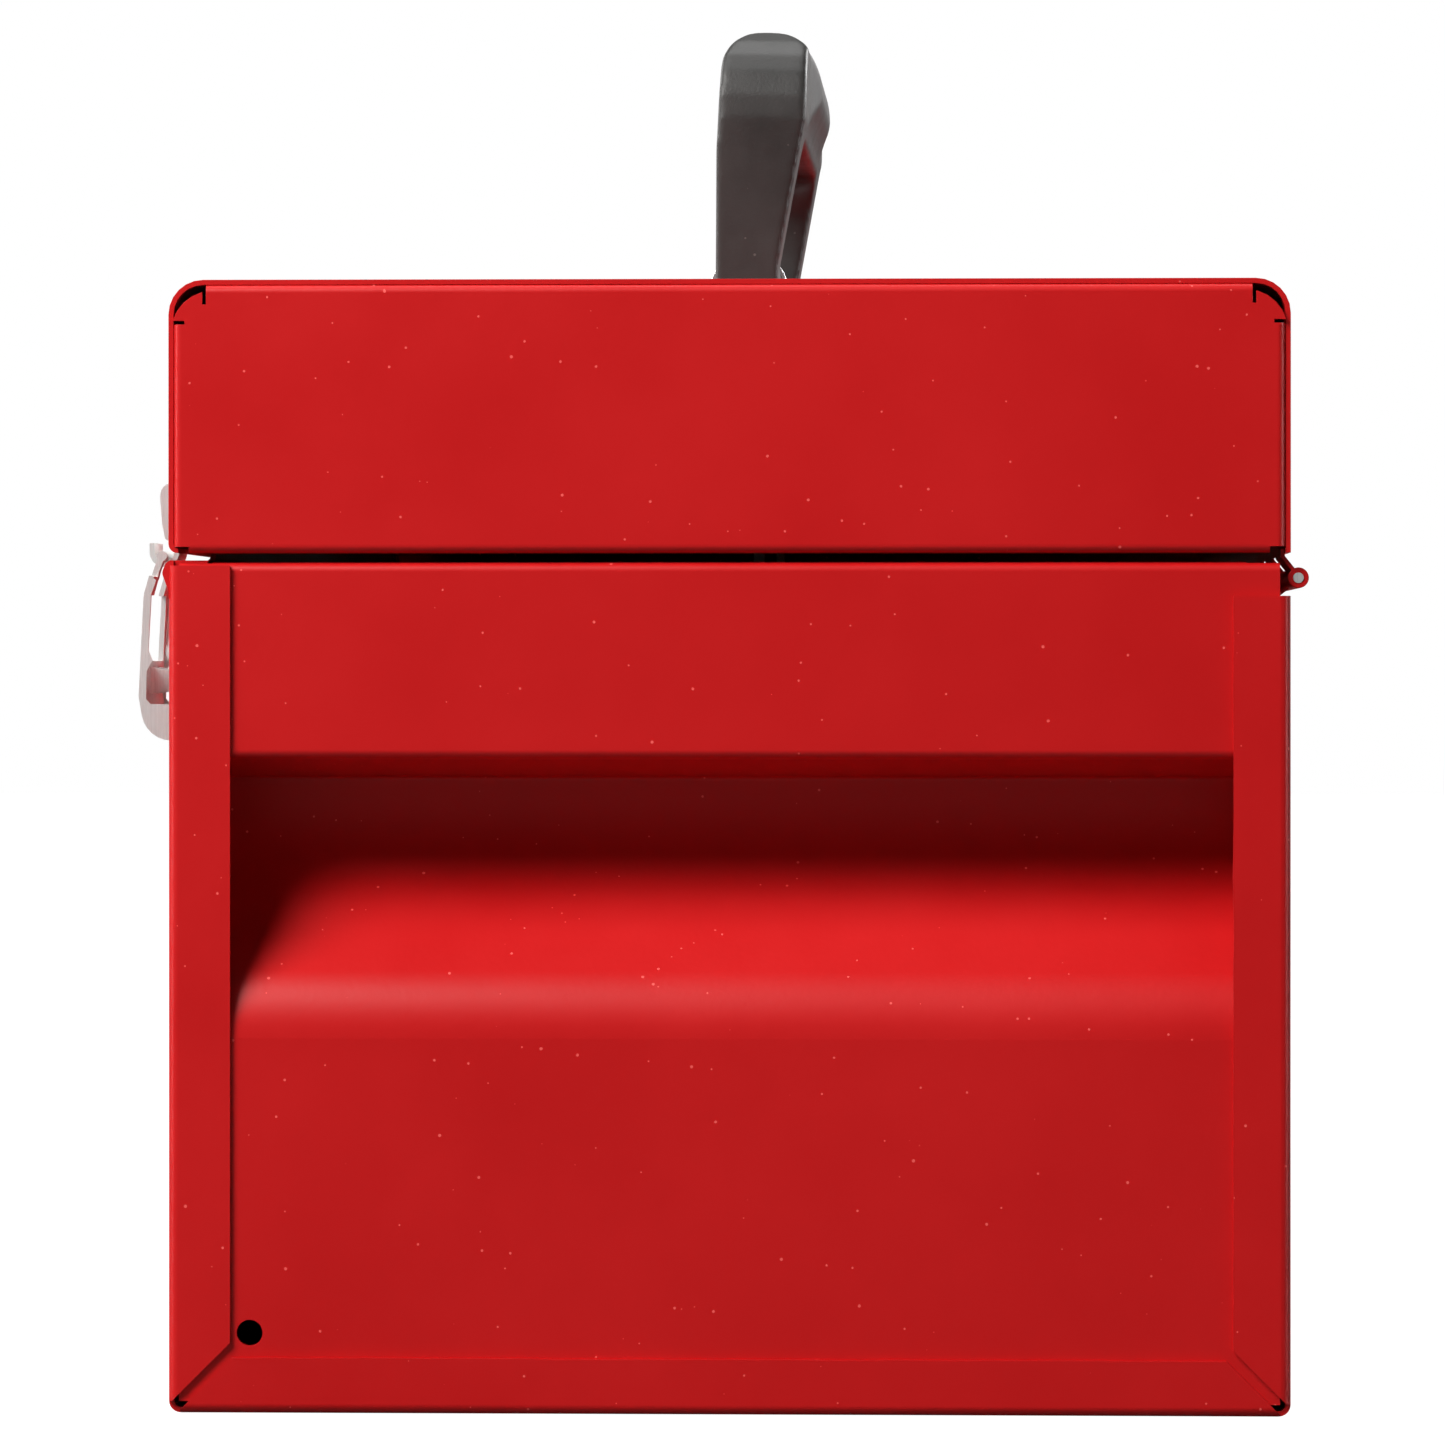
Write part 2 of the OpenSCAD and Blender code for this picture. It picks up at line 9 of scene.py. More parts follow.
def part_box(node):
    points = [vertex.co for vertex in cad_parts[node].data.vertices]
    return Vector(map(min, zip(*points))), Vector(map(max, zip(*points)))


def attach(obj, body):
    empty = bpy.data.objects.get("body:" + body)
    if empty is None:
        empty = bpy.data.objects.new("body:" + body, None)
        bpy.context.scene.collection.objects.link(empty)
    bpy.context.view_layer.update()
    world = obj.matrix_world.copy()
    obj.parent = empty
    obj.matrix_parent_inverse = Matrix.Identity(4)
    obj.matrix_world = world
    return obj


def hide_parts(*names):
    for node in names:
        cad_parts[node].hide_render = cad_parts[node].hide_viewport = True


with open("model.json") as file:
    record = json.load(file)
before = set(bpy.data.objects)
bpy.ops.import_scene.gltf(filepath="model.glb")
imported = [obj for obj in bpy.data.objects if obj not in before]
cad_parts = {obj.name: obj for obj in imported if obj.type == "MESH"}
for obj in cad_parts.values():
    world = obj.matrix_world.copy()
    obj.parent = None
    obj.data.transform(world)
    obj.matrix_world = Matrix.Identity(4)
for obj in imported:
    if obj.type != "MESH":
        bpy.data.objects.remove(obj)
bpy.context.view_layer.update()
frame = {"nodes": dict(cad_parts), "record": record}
record = frame["record"]
mm = 0.001

cameraSetup = {
    "distance": 1350 * mm,  # from the near end panel
    "yaw": 2.1,  # degrees round towards the hinge side
    "height": 145.2 * mm,
    "lens": 174.9,
    "shift": (-0.0038, -0.0433),
}
lightSetup = {
    "key": {"at": (1.13, -0.90, 1.36), "size": 0.95, "power": 51, "colour": (1.0, 0.99, 0.97)},
    "fill": {"at": (1.5, 1.3, 0.9), "size": 0.6, "power": 1.0, "colour": (0.98, 0.99, 1.0)},
    "top": {"at": (-0.2, -0.1, 1.7), "size": 0.9, "power": 12, "colour": (1, 1, 1)},
    "rim": {"at": (-0.9, -1.3, 0.8), "size": 0.9, "power": 16, "colour": (1, 1, 1)},
    "back": {"at": (-1.5, 1.5, 1.0), "size": 1.0, "power": 34, "colour": (1, 1, 1)},
    "target": (0.1, 0, 0.12),
    "sky": 0.03,  # soft light from the walls of the studio
    "mirrored": 0.25,  # brightness of the walls in reflections
    "panels": 16.0,  # bright upright panels to the front and the back, in reflections only
    "panelEdge": (0.88, 0.97),  # how squarely a reflection faces a panel where it starts and where it is full
    "panelFront": (0.0, 0.12),  # the same towards the near end, so the far end mirrors none
    "backdrop": 1.0,
    "floorTone": 0.12,
    "floorReach": 6,
    "floorDrop": 0.2 * mm,
}


def newGroup(name, inputs, outputs):
    group = bpy.data.node_groups.new(name, "ShaderNodeTree")
    for label, kind, value in inputs:
        socket = group.interface.new_socket(label, in_out="INPUT", socket_type=kind)
        if value is not None:
            socket.default_value = value
    for label, kind in outputs:
        group.interface.new_socket(label, in_out="OUTPUT", socket_type=kind)
    return group, group.nodes.new("NodeGroupInput"), group.nodes.new("NodeGroupOutput")


def addNode(tree, kind, values=None, **settings):
    node = tree.nodes.new(kind)
    for key, value in settings.items():
        setattr(node, key, value)
    for key, value in (values or {}).items():
        node.inputs[key].default_value = value
    return node


def addMath(tree, operation, first, second=None, clamp=False):
    node = addNode(tree, "ShaderNodeMath", operation=operation, use_clamp=clamp)
    for index, value in enumerate((first, second)):
        if value is None:
            continue
        if isinstance(value, (int, float)):
            node.inputs[index].default_value = value
        else:
            tree.links.new(value, node.inputs[index])
    return node.outputs[0]


def makeCamera(setup):
    yaw = math.radians(setup["yaw"])
    outwards = Vector((math.cos(yaw), math.sin(yaw), 0))
    data = bpy.data.cameras.new("camera")
    data.lens = setup["lens"]
    data.sensor_width = 36
    data.shift_x, data.shift_y = setup["shift"]
    data.clip_start, data.clip_end = 0.05, 50
    camera = bpy.data.objects.new("camera", data)
    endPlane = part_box("end_panel_right")[1][0]
    camera.location = Vector((endPlane, 0, setup["height"])) + outwards * setup["distance"]
    camera.rotation_euler = (-outwards).to_track_quat("-Z", "Y").to_euler()
    bpy.context.scene.collection.objects.link(camera)
    bpy.context.scene.camera = camera


def makeLight(name, spec, target):
    data = bpy.data.lights.new(name, "AREA")
    data.shape = "DISK"
    data.size = spec["size"]
    data.energy = spec["power"]
    data.color = spec["colour"]
    light = bpy.data.objects.new(name, data)
    light.location = spec["at"]
    aim = Vector(target) - light.location
    light.rotation_euler = aim.to_track_quat("-Z", "Y").to_euler()
    bpy.context.scene.collection.objects.link(light)


def makeStudio(setup):
    for name in ("key", "fill", "top", "rim", "back"):
        makeLight(name, setup[name], setup["target"])
    world = bpy.data.worlds.new("studio")
    bpy.context.scene.world = world
    world.use_nodes = True
    tree = world.node_tree
    backdrop = tree.nodes["Background"]
    backdrop.inputs["Strength"].default_value = setup["backdrop"]
    backdrop.inputs["Color"].default_value = (1, 1, 1, 1)
    walls = tree.nodes.new("ShaderNodeBackground")
    walls.inputs["Color"].default_value = (1, 1, 1, 1)
    seen = tree.nodes.new("ShaderNodeLightPath")
    facing = addNode(tree, "ShaderNodeSeparateXYZ")
    tree.links.new(addNode(tree, "ShaderNodeTexCoord").outputs["Generated"], facing.inputs["Vector"])

    def fadeIn(value, ends):
        fade = addNode(tree, "ShaderNodeMapRange", {"From Min": ends[0], "From Max": ends[1]},
                       interpolation_type="SMOOTHSTEP")
        tree.links.new(value, fade.inputs["Value"])
        return fade.outputs["Result"]

    across = fadeIn(addMath(tree, "ABSOLUTE", facing.outputs["Y"]), setup["panelEdge"])
    ahead = fadeIn(facing.outputs["X"], setup["panelFront"])
    panel = addMath(tree, "MULTIPLY", across, ahead)
    wall = addMath(tree, "ADD", addMath(tree, "MULTIPLY", panel, setup["panels"]), setup["mirrored"])
    mirrored = addMath(tree, "MULTIPLY", wall, seen.outputs["Is Glossy Ray"])
    tree.links.new(addMath(tree, "ADD", mirrored, setup["sky"]), walls.inputs["Strength"])
    mix = tree.nodes.new("ShaderNodeMixShader")
    tree.links.new(seen.outputs["Is Camera Ray"], mix.inputs["Fac"])
    tree.links.new(walls.outputs["Background"], mix.inputs[1])
    tree.links.new(backdrop.outputs["Background"], mix.inputs[2])
    tree.links.new(mix.outputs["Shader"], tree.nodes["World Output"].inputs["Surface"])
    bpy.context.scene.view_settings.view_transform = "Standard"

    mesh = bpy.data.meshes.new("floor")
    reach = setup["floorReach"]
    corners = [(-reach, -reach, 0), (reach, -reach, 0), (reach, reach, 0), (-reach, reach, 0)]
    mesh.from_pydata(corners, [], [(0, 1, 2, 3)])
    floor = bpy.data.objects.new("floor", mesh)
    floor.location.z = -setup["floorDrop"]
    bpy.context.scene.collection.objects.link(floor)
    paper = bpy.data.materials.new("paper")
    paper.use_nodes = True
    shader = paper.node_tree.nodes["Principled BSDF"]
    tone = setup["floorTone"]
    shader.inputs["Base Color"].default_value = (tone, tone, tone, 1)
    shader.inputs["Roughness"].default_value = 0.9
    shader.inputs["Emission Color"].default_value = (1, 1, 1, 1)
    floorSeen = paper.node_tree.nodes.new("ShaderNodeLightPath")
    paper.node_tree.links.new(floorSeen.outputs["Is Camera Ray"], shader.inputs["Emission Strength"])
    mesh.materials.append(paper)


makeCamera(cameraSetup)
makeStudio(lightSetup)
print("camera, lights and floor ready")


def buildOrangePeel():
    group, start, end = newGroup(
        "orangePeel",
        [("Vector", "NodeSocketVector", None), ("Cell", "NodeSocketFloat", 700.0),
         ("Depth", "NodeSocketFloat", 0.05)],
        [("Height", "NodeSocketFloat")])
    links = group.links
    fine = addNode(group, "ShaderNodeTexNoise", {"Detail": 3.0, "Roughness": 0.55})
    links.new(start.outputs["Vector"], fine.inputs["Vector"])
    links.new(start.outputs["Cell"], fine.inputs["Scale"])
    broad = addNode(group, "ShaderNodeTexNoise", {"Detail": 2.0})
    links.new(start.outputs["Vector"], broad.inputs["Vector"])
    broadness = 0.16  # of the fine cells' frequency
    links.new(addMath(group, "MULTIPLY", start.outputs["Cell"], broadness), broad.inputs["Scale"])
    both = addMath(group, "ADD", fine.outputs["Fac"], broad.outputs["Fac"])
    links.new(addMath(group, "MULTIPLY", both, start.outputs["Depth"]), end.inputs["Height"])
    return group


def buildSpecks():
    group, start, end = newGroup(
        "dustSpecks",
        [("Vector", "NodeSocketVector", None), ("Spread", "NodeSocketFloat", 320.0),
         ("Size", "NodeSocketFloat", 0.1), ("Share", "NodeSocketFloat", 0.3)],
        [("Mask", "NodeSocketFloat")])
    links = group.links
    # turned, so that no flat sheet lies along the cells
    turned = addNode(group, "ShaderNodeMapping", {"Rotation": (0.4, 0.7, 0.2)})
    links.new(start.outputs["Vector"], turned.inputs["Vector"])
    cells = addNode(group, "ShaderNodeTexVoronoi", feature="F1")
    links.new(turned.outputs["Vector"], cells.inputs["Vector"])
    links.new(start.outputs["Spread"], cells.inputs["Scale"])
    split = addNode(group, "ShaderNodeSeparateColor")
    links.new(cells.outputs["Color"], split.inputs["Color"])
    smallest = 0.35  # beside a largest of 1.35
    ownShare = addMath(group, "ADD", split.outputs["Green"], smallest)
    ownSize = addMath(group, "MULTIPLY", ownShare, start.outputs["Size"])
    near = addMath(group, "LESS_THAN", cells.outputs["Distance"], ownSize)
    chosen = addMath(group, "LESS_THAN", split.outputs["Red"], start.outputs["Share"])
    links.new(addMath(group, "MULTIPLY", near, chosen), end.inputs["Mask"])
    return group


def buildMottle():
    group, start, end = newGroup(
        "mottle",
        [("Vector", "NodeSocketVector", None), ("Scale", "NodeSocketFloat", 8.0),
         ("Dark", "NodeSocketColor", None), ("Light", "NodeSocketColor", None)],
        [("Color", "NodeSocketColor"), ("Mask", "NodeSocketFloat")])
    links = group.links
    cloud = addNode(group, "ShaderNodeTexNoise", {"Detail": 4.0, "Roughness": 0.6})
    links.new(start.outputs["Vector"], cloud.inputs["Vector"])
    links.new(start.outputs["Scale"], cloud.inputs["Scale"])
    mask = addNode(group, "ShaderNodeMapRange", {"From Min": 0.3, "From Max": 0.7})
    links.new(cloud.outputs["Fac"], mask.inputs["Value"])
    mix = addNode(group, "ShaderNodeMix", data_type="RGBA")
    links.new(mask.outputs["Result"], mix.inputs["Factor"])
    links.new(start.outputs["Dark"], mix.inputs[6])
    links.new(start.outputs["Light"], mix.inputs[7])
    links.new(mix.outputs[2], end.inputs["Color"])
    links.new(mask.outputs["Result"], end.inputs["Mask"])
    return group


def buildBrushed():
    group, start, end = newGroup(
        "brushed",
        [("Vector", "NodeSocketVector", None), ("Fineness", "NodeSocketFloat", 2600.0)],
        [("Grain", "NodeSocketFloat")])
    links = group.links
    stretch = addNode(group, "ShaderNodeMapping", {"Scale": (1.0, 1.0, 0.06)})
    links.new(start.outputs["Vector"], stretch.inputs["Vector"])
    streaks = addNode(group, "ShaderNodeTexNoise", {"Detail": 3.0, "Roughness": 0.65})
    links.new(stretch.outputs["Vector"], streaks.inputs["Vector"])
    links.new(start.outputs["Fineness"], streaks.inputs["Scale"])
    links.new(streaks.outputs["Fac"], end.inputs["Grain"])
    return group


orangePeel = buildOrangePeel()
brushed = buildBrushed()
dustSpecks = buildSpecks()
mottle = buildMottle()


def addGroup(tree, group, vector, values):
    node = addNode(tree, "ShaderNodeGroup", node_tree=group)
    tree.links.new(vector, node.inputs["Vector"])
    for key, value in values.items():
        node.inputs[key].default_value = value
    return node


def startMaterial(name, values):
    material = bpy.data.materials.new(name)
    material.use_nodes = True
    tree = material.node_tree
    shader = tree.nodes["Principled BSDF"]
    for key, value in values.items():
        shader.inputs[key].default_value = value
    place = addNode(tree, "ShaderNodeTexCoord").outputs["Object"]
    return material, tree, shader, place


def addBump(tree, shader, height, strength, distance):
    bump = addNode(tree, "ShaderNodeBump", {"Strength": strength, "Distance": distance})
    tree.links.new(height, bump.inputs["Height"])
    tree.links.new(bump.outputs["Normal"], shader.inputs["Normal"])


def mixColours(tree, factor, first, second):
    mix = addNode(tree, "ShaderNodeMix", data_type="RGBA")
    tree.links.new(factor, mix.inputs["Factor"])
    for socket, value in ((mix.inputs[6], first), (mix.inputs[7], second)):
        if isinstance(value, tuple):
            socket.default_value = value
        else:
            tree.links.new(value, socket)
    return mix.outputs[2]


def addRoughness(tree, shader, factor, low, high):
    spread = addNode(tree, "ShaderNodeMapRange", {"To Min": low, "To Max": high})
    tree.links.new(factor, spread.inputs["Value"])
    tree.links.new(spread.outputs["Result"], shader.inputs["Roughness"])


powderLook = {
    "dark": (0.50, 0.004, 0.005, 1),
    "light": (0.56, 0.006, 0.007, 1),
    "mottle": 14.0,
    "speck": (0.85, 0.10, 0.09, 1),
    "specks": {"Spread": 420.0, "Size": 0.10, "Share": 0.25},
    "peel": {"Cell": 750.0, "Depth": 0.5},
    "shine": 0.28,
    "roughness": (0.36, 0.44),
    "bump": (0.25, 0.2 * mm),
}
plasticLook = {
    "dark": (0.012, 0.0118, 0.011, 1),
    "light": (0.020, 0.0197, 0.0185, 1),
    "mottle": 60.0,
    "speck": (0.07, 0.07, 0.066, 1),
    "specks": {"Spread": 420.0, "Size": 0.12, "Share": 0.22},
    "peel": {"Cell": 1500.0, "Depth": 0.6},
    "shine": 0.45,
    "roughness": (0.42, 0.55),
    "bump": (0.35, 0.2 * mm),
}


def speckledCoat(name, look):
    # the paint and the moulded plastic differ only in their values
    material, tree, shader, place = startMaterial(name, {"Specular IOR Level": look["shine"]})
    tones = {"Scale": look["mottle"], "Dark": look["dark"], "Light": look["light"]}
    tone = addGroup(tree, mottle, place, tones)
    specks = addGroup(tree, dustSpecks, place, look["specks"])
    colour = mixColours(tree, specks.outputs["Mask"], tone.outputs["Color"], look["speck"])
    tree.links.new(colour, shader.inputs["Base Color"])
    addRoughness(tree, shader, tone.outputs["Mask"], *look["roughness"])
    peel = addGroup(tree, orangePeel, place, look["peel"])
    addBump(tree, shader, peel.outputs["Height"], *look["bump"])
    return material


def platedSteel(name, look):
    material, tree, shader, place = startMaterial(name, {"Metallic": 1.0})
    tones = {"Scale": look["mottle"], "Dark": look["dark"], "Light": look["light"]}
    tone = addGroup(tree, mottle, place, tones)
    grain = addGroup(tree, brushed, place, {"Fineness": look["fineness"]})
    worn = addNode(tree, "ShaderNodeMapRange",
                   {"From Min": 0.35, "From Max": 0.65, "To Max": look["streaks"]})
    tree.links.new(grain.outputs["Grain"], worn.inputs["Value"])
    colour = mixColours(tree, worn.outputs["Result"], tone.outputs["Color"], look["streak"])
    tree.links.new(colour, shader.inputs["Base Color"])
    addRoughness(tree, shader, grain.outputs["Grain"], *look["roughness"])
    addBump(tree, shader, grain.outputs["Grain"], *look["bump"])
    return material


trayLook = dict(powderLook, dark=(0.48, 0.005, 0.006, 1), specks=dict(powderLook["specks"], Share=0.05))
redPaint = speckledCoat("redPaint", powderLook)
trayPaint = speckledCoat("trayPaint", trayLook)
zincPlate = platedSteel("zincPlate", {
    "dark": (0.76, 0.76, 0.75, 1), "light": (0.86, 0.86, 0.85, 1), "mottle": 45.0,
    "streak": (0.55, 0.55, 0.54, 1), "streaks": 0.45, "fineness": 2600.0,
    "roughness": (0.38, 0.56), "bump": (0.12, 0.1 * mm)})
brightPlate = platedSteel("brightPlate", {
    "dark": (0.78, 0.78, 0.78, 1), "light": (0.86, 0.86, 0.86, 1), "mottle": 45.0,
    "streak": (0.70, 0.70, 0.70, 1), "streaks": 0.2, "fineness": 1800.0,
    "roughness": (0.12, 0.22), "bump": (0.04, 0.1 * mm)})
darkPlastic = speckledCoat("darkPlastic", plasticLook)
finishes = {
    "red_steel": redPaint,
    "tray_steel": trayPaint,
    "zinc_plate": zincPlate,
    "bright_plate": brightPlate,
    "handle_plastic": darkPlastic,
}
slotOf = {entry["node"]: entry["material_slot"] for entry in record["subparts"]}
bodyOf = {node: body for body, nodes in record["behaviour"]["bodies"].items() for node in nodes}
print("materials ready")


mergeLook = {"gap": 0.001 * mm, "flatness": 0.5}  # faces within half a degree become one


def mergedMesh(node):
    # the CAD mesh as clean flat faces, ready for rounding
    mesh = bmesh.new()
    mesh.from_mesh(frame["nodes"][node].data)
    bmesh.ops.remove_doubles(mesh, verts=mesh.verts, dist=mergeLook["gap"])
    flat = math.radians(mergeLook["flatness"])
    bmesh.ops.dissolve_limit(mesh, angle_limit=flat, verts=mesh.verts, edges=mesh.edges)
    return mesh


def newPiece(node, mesh):
    data = bpy.data.meshes.new(node + "_mesh")
    mesh.to_mesh(data)
    mesh.free()
    data.materials.append(finishes[slotOf[node]])
    piece = bpy.data.objects.new(node + "_finished", data)
    bpy.context.scene.collection.objects.link(piece)
    return piece


def finishPiece(piece, node):
    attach(piece, bodyOf[node])
    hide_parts(node)


sheetEdge = {"sharpest": 32, "rings": 2}  # corners turning more degrees than this are rounded


def roundedPiece(node, width, shape=None):
    mesh = mergedMesh(node)
    if shape:
        shape(mesh)
    piece = newPiece(node, mesh)
    sharp = math.radians(sheetEdge["sharpest"])
    piece.data.shade_smooth()
    piece.data.set_sharp_from_angle(angle=sharp)
    bevel = piece.modifiers.new("edges", "BEVEL")
    bevel.width = width
    bevel.segments = sheetEdge["rings"]
    bevel.limit_method = "ANGLE"
    bevel.angle_limit = sharp
    bevel.use_clamp_overlap = True
    bevel.miter_outer = "MITER_ARC"
    smooth = piece.modifiers.new("shading", "WEIGHTED_NORMAL")
    smooth.keep_sharp = True
    smooth.weight = 100
    finishPiece(piece, node)


def wanderOf(place, look):
    # slow waves, and a burr where a second set of waves stands highest
    burr = noise.noise(place * look["burrScale"] + Vector(look["burrShift"])) - look["burrLevel"]
    return noise.noise(place) + look["burrHeight"] * max(0, burr)


def wavyEdges(look):
    # the sheared edges of the end flanges wander a little, with a burr here and there
    def lies(edge, index, at):
        return all(abs(vert.co[index] - at) < look["near"] and abs(vert.co.x) > look["from"]
                   for vert in edge.verts) and edge.calc_length() > look["shortest"]

    def shape(mesh):
        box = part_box("body_wrap")
        inner = [("y", box[0][1] + look["front"]), ("y", look["backEdge"]), ("z", look["base"])]
        for axis, at in inner:
            index = "xyz".index(axis)
            edges = [edge for edge in mesh.edges if lies(edge, index, at)]
            cut = bmesh.ops.subdivide_edges(mesh, edges=edges, cuts=look["cuts"], use_grid_fill=False)
            for vert in cut["geom_inner"]:
                if isinstance(vert, bmesh.types.BMVert):
                    end = math.copysign(look["endShift"], vert.co.x)
                    wander = wanderOf(Vector((end, vert.co.y / look["cell"], vert.co.z / look["cell"])), look)
                    inwards = -1 if vert.co[index] > 0 and axis == "y" else 1
                    vert.co[index] += look["amount"] * wander * inwards
    return shape


edgeSizes = {
    "body_wrap": 0.18, "end_panel_left": 0.18, "end_panel_right": 0.18,
    "lid_wrap": 0.2, "lid_end_left": 0.15, "lid_end_right": 0.15,
    "latch_base_left": 0.12, "latch_base_right": 0.12,
    "latch_strike_left": 0.2, "latch_strike_right": 0.2,
    "latch_lever_left": 0.22, "latch_lever_right": 0.22,
    "handle_bracket_left": 0.2, "handle_bracket_right": 0.2,
    "tray_pan": 0.2, "tray_partition": 0.2,
}
flangeLook = {
    "front": 13.3 * mm,  # from the face of the rim's bead to the front flange's edge
    "backEdge": 97 * mm,
    "base": 10.7 * mm,
    "from": 252 * mm,  # the flanges lie beyond this, towards either end
    "near": 0.02 * mm,
    "shortest": 50 * mm,
    "cuts": 90,
    "amount": 0.16 * mm,
    "cell": 9 * mm,
    "endShift": 5,  # gives each end its own waves
    "burrScale": 1.7,
    "burrShift": (3, 1, 7),
    "burrLevel": 0.35,
    "burrHeight": 1.5,
}
shapes = {"body_wrap": wavyEdges(flangeLook)}
for node, size in edgeSizes.items():
    roundedPiece(node, size * mm, shape=shapes.get(node))
print("sheet pieces rounded")


def mouldedPiece(node, look):
    # a new skin of even faces, relaxed so that every arris has the soft radius of a moulding
    piece = newPiece(node, mergedMesh(node))
    skin = piece.modifiers.new("skin", "REMESH")
    skin.mode = "VOXEL"
    skin.voxel_size = look["face"]
    skin.use_smooth_shade = True
    relax = piece.modifiers.new("relax", "SMOOTH")
    relax.factor = look["pull"]
    relax.iterations = look["passes"]
    finishPiece(piece, node)


mouldedLook = {"handle_grip": {"face": 0.6 * mm, "pull": 0.5, "passes": 14}}
for node, look in mouldedLook.items():
    mouldedPiece(node, look)
print("handle moulded")


def buildRivetGroup():
    group = bpy.data.node_groups.new("rivets", "GeometryNodeTree")
    group.interface.new_socket("Places", in_out="INPUT", socket_type="NodeSocketGeometry")
    sizes = ("Head Radius", "Head Height", "Shank Radius", "Shank Length", "Tail Radius", "Tail Height",
             "Unevenness")
    for label in sizes:
        group.interface.new_socket(label, in_out="INPUT", socket_type="NodeSocketFloat")
    group.interface.new_socket("Turn", in_out="INPUT", socket_type="NodeSocketVector")
    group.interface.new_socket("Seed", in_out="INPUT", socket_type="NodeSocketInt")
    group.interface.new_socket("Finish", in_out="INPUT", socket_type="NodeSocketMaterial")
    group.interface.new_socket("Rivets", in_out="OUTPUT", socket_type="NodeSocketGeometry")
    start, end = group.nodes.new("NodeGroupInput"), group.nodes.new("NodeGroupOutput")
    link = group.links.new

    def vector(x, y, z):
        node = addNode(group, "ShaderNodeCombineXYZ")
        for socket, value in zip(node.inputs, (x, y, z)):
            if isinstance(value, (int, float)):
                socket.default_value = value
            else:
                link(value, socket)
        return node.outputs["Vector"]

    sides, rings = 28, 16
    ball = addNode(group, "GeometryNodeMeshUVSphere", {"Segments": sides, "Rings": rings, "Radius": 1.0})
    place = addNode(group, "GeometryNodeInputPosition")
    split = addNode(group, "ShaderNodeSeparateXYZ")
    link(place.outputs["Position"], split.inputs["Vector"])
    # the lower half of the ball is lifted to its middle, which leaves a dome
    lift = addMath(group, "MAXIMUM", addMath(group, "MULTIPLY", split.outputs["Z"], -1.0), 0.0)
    flat = addNode(group, "GeometryNodeSetPosition")
    link(ball.outputs["Mesh"], flat.inputs["Geometry"])
    link(vector(0.0, 0.0, lift), flat.inputs["Offset"])
    head = addNode(group, "GeometryNodeTransform")
    link(flat.outputs["Geometry"], head.inputs["Geometry"])
    radius, height = start.outputs["Head Radius"], start.outputs["Head Height"]
    link(vector(radius, radius, height), head.inputs["Scale"])
    smooth = addNode(group, "GeometryNodeSetShadeSmooth")
    link(head.outputs["Geometry"], smooth.inputs[0])
    join = addNode(group, "GeometryNodeJoinGeometry")
    link(smooth.outputs[0], join.inputs["Geometry"])

    def post(radiusSocket, lengthSocket, middle):
        rod = addNode(group, "GeometryNodeMeshCylinder", {"Vertices": sides})
        link(radiusSocket, rod.inputs["Radius"])
        link(lengthSocket, rod.inputs["Depth"])
        moved = addNode(group, "GeometryNodeTransform")
        link(rod.outputs["Mesh"], moved.inputs["Geometry"])
        link(vector(0.0, 0.0, middle), moved.inputs["Translation"])
        link(moved.outputs["Geometry"], join.inputs["Geometry"])

    length, tail = start.outputs["Shank Length"], start.outputs["Tail Height"]
    post(start.outputs["Shank Radius"], length, addMath(group, "MULTIPLY", length, -0.5))
    shankEnd = addMath(group, "MULTIPLY", length, -1.0)
    below = addMath(group, "ADD", addMath(group, "MULTIPLY", tail, -0.5), shankEnd)
    post(start.outputs["Tail Radius"], tail, below)

    instance = addNode(group, "GeometryNodeInstanceOnPoints")
    link(start.outputs["Places"], instance.inputs["Points"])
    link(join.outputs["Geometry"], instance.inputs["Instance"])
    link(start.outputs["Turn"], instance.inputs["Rotation"])
    uneven = addNode(group, "FunctionNodeRandomValue", data_type="FLOAT")
    link(addMath(group, "SUBTRACT", 1.0, start.outputs["Unevenness"]), uneven.inputs["Min"])
    uneven.inputs["Max"].default_value = 1.0
    link(start.outputs["Seed"], uneven.inputs["Seed"])
    link(vector(1.0, 1.0, uneven.outputs["Value"]), instance.inputs["Scale"])
    real = addNode(group, "GeometryNodeRealizeInstances")
    link(instance.outputs["Instances"], real.inputs["Geometry"])
    painted = addNode(group, "GeometryNodeSetMaterial")
    link(real.outputs["Geometry"], painted.inputs["Geometry"])
    link(start.outputs["Finish"], painted.inputs["Material"])
    link(painted.outputs["Geometry"], end.inputs["Rivets"])
    return group


def islandBoxes(node):
    # one box for each loose shell of the node, so one for each rivet
    mesh = mergedMesh(node)
    waiting = set(mesh.verts)
    boxes = []
    while waiting:
        stack, found = [waiting.pop()], []
        while stack:
            vert = stack.pop()
            found.append(vert.co.copy())
            for edge in vert.link_edges:
                other = edge.other_vert(vert)
                if other in waiting:
                    waiting.discard(other)
                    stack.append(other)
        boxes.append([[pick(co[axis] for co in found) for axis in range(3)] for pick in (min, max)])
    mesh.free()
    return sorted(boxes)


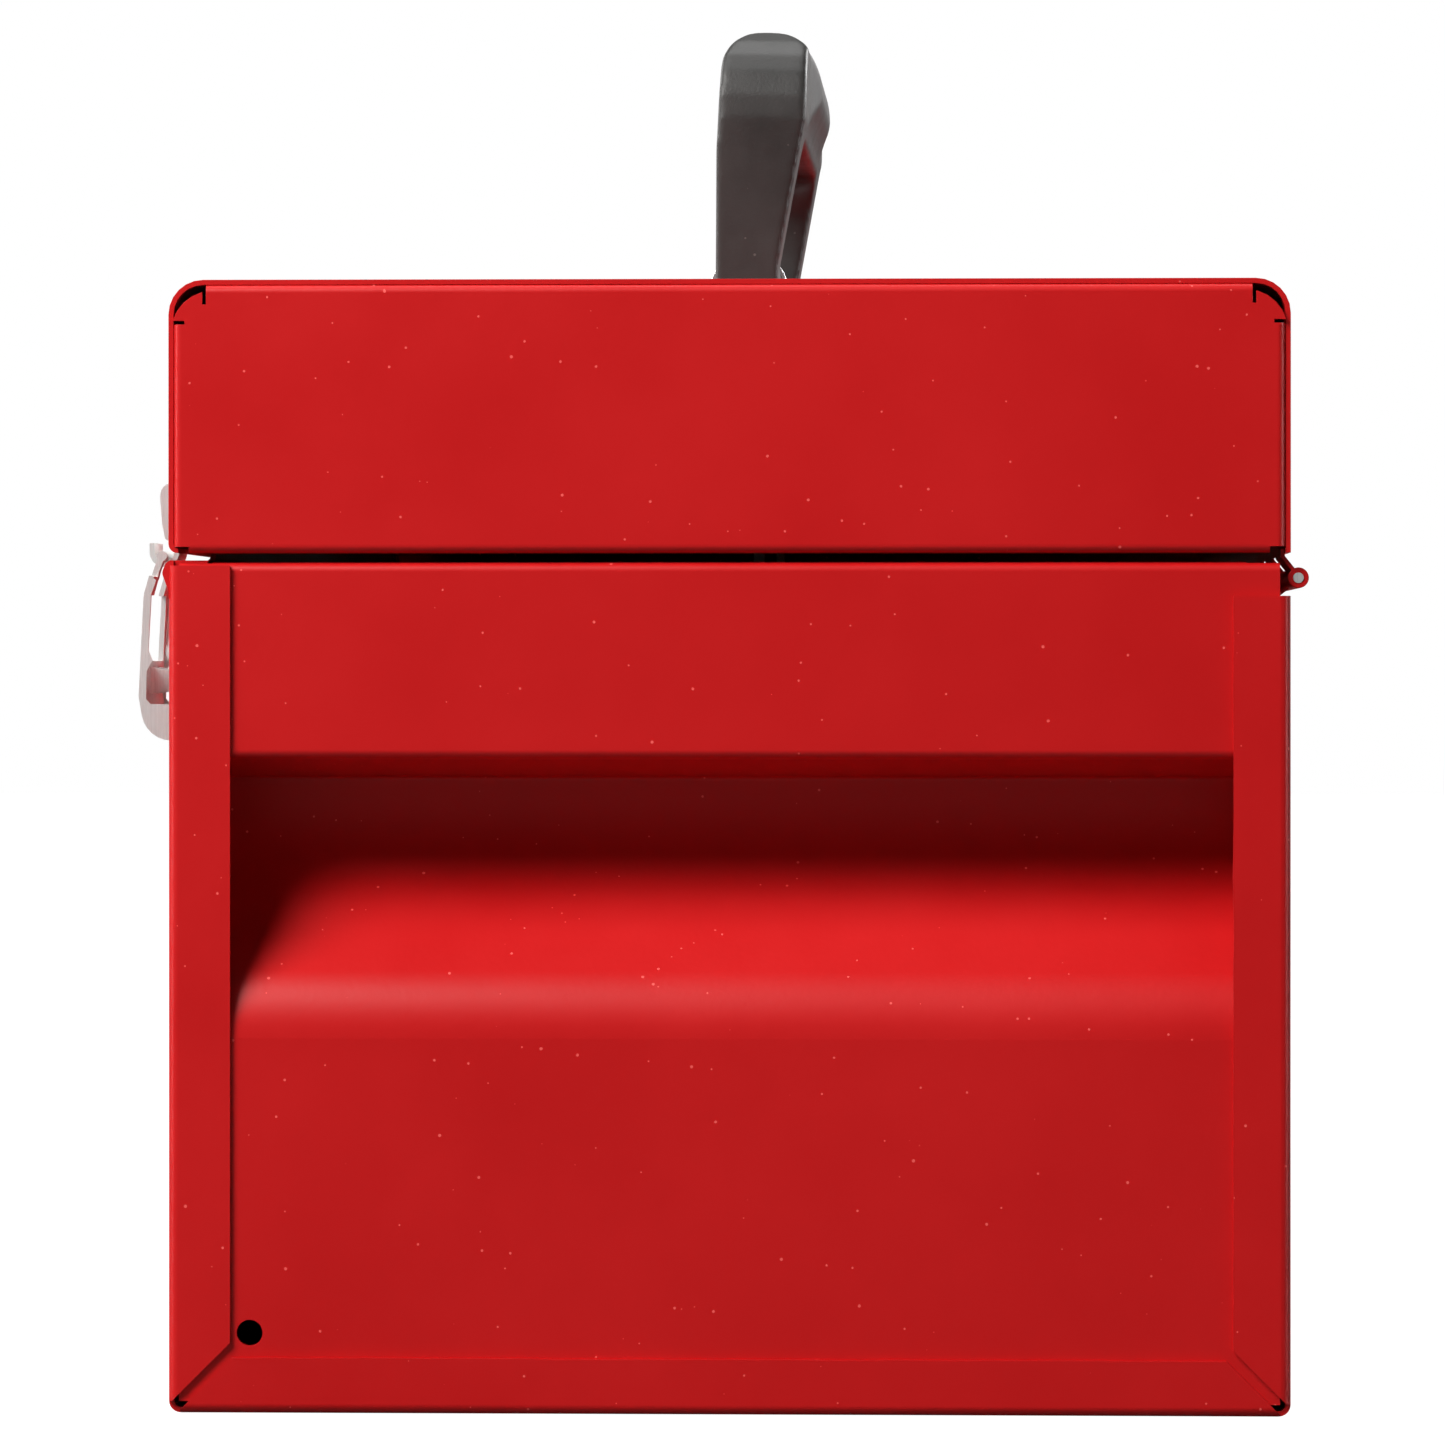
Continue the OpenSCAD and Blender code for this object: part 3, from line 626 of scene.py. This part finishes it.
def makeRivets(node, spec, seed):
    # the head sits on the plate that the rivet holds, and its axis is up or out of the front
    places = []
    for low, high in islandBoxes(node):
        middle = [(a + b) / 2 for a, b in zip(low, high)]
        if spec["axis"] == "up":
            middle[2] = high[2] - spec["headHeight"]
        else:
            middle[1] = low[1] + spec["headHeight"]
        places.append(middle)
    points = bpy.data.meshes.new(node + "_places")
    points.from_pydata(places, [], [])
    holder = bpy.data.objects.new(node + "_source", points)
    bpy.context.scene.collection.objects.link(holder)
    modifier = holder.modifiers.new("rivets", "NODES")
    modifier.node_group = rivetGroup
    lean = 0.0 if spec["axis"] == "up" else math.radians(90)
    values = {
        "Head Radius": spec["headRadius"], "Head Height": spec["headHeight"],
        "Shank Radius": spec["shankRadius"], "Shank Length": spec["shankLength"],
        "Tail Radius": spec["tailRadius"], "Tail Height": spec["tailHeight"],
        "Unevenness": unevenHeads, "Turn": (lean, 0.0, 0.0), "Seed": seed,
        "Finish": finishes[slotOf[node]],
    }
    for item in rivetGroup.interface.items_tree:
        if item.item_type == "SOCKET" and item.in_out == "INPUT" and item.name in values:
            modifier[item.identifier] = values[item.name]
    bpy.context.view_layer.update()
    evaluated = holder.evaluated_get(bpy.context.evaluated_depsgraph_get())
    data = bpy.data.meshes.new_from_object(evaluated)
    data.name = node + "_mesh"
    holder.modifiers.clear()
    bpy.data.objects.remove(holder)
    piece = bpy.data.objects.new(node + "_finished", data)
    bpy.context.scene.collection.objects.link(piece)
    finishPiece(piece, node)


unevenHeads = 0.08  # share of its height that a head may lose
firstSeed = 11
rivetSpecs = {
    "handle_rivets": {
        "axis": "up", "headRadius": 3.6, "headHeight": 1.8, "shankRadius": 2.0, "shankLength": 3.0,
        "tailRadius": 2.8, "tailHeight": 1.0},
    "tray_rivets": {
        "axis": "up", "headRadius": 3.0, "headHeight": 1.4, "shankRadius": 1.6, "shankLength": 1.7,
        "tailRadius": 1.6, "tailHeight": 0.1},
    "latch_base_rivets": {
        "axis": "out", "headRadius": 1.95, "headHeight": 1.1, "shankRadius": 1.5, "shankLength": 0.6,
        "tailRadius": 1.5, "tailHeight": 0.1},
    "strike_rivets": {
        "axis": "out", "headRadius": 1.95, "headHeight": 1.1, "shankRadius": 1.5, "shankLength": 0.9,
        "tailRadius": 1.5, "tailHeight": 0.1},
}
rivetGroup = buildRivetGroup()
for seed, (node, spec) in enumerate(rivetSpecs.items(), start=firstSeed):
    scaled = {key: value if key == "axis" else value * mm for key, value in spec.items()}
    makeRivets(node, scaled, seed)
print("rivets set")

leafLook = {"hinge_body_leaf": 0.15, "hinge_lid_leaf": 0.15}
for node, size in leafLook.items():
    roundedPiece(node, size * mm)
for node, part in frame["nodes"].items():
    if not any(node in group for group in (edgeSizes, mouldedLook, rivetSpecs, leafLook)):
        part.data.materials.clear()
        part.data.materials.append(finishes[slotOf[node]])
print("pieces finished")
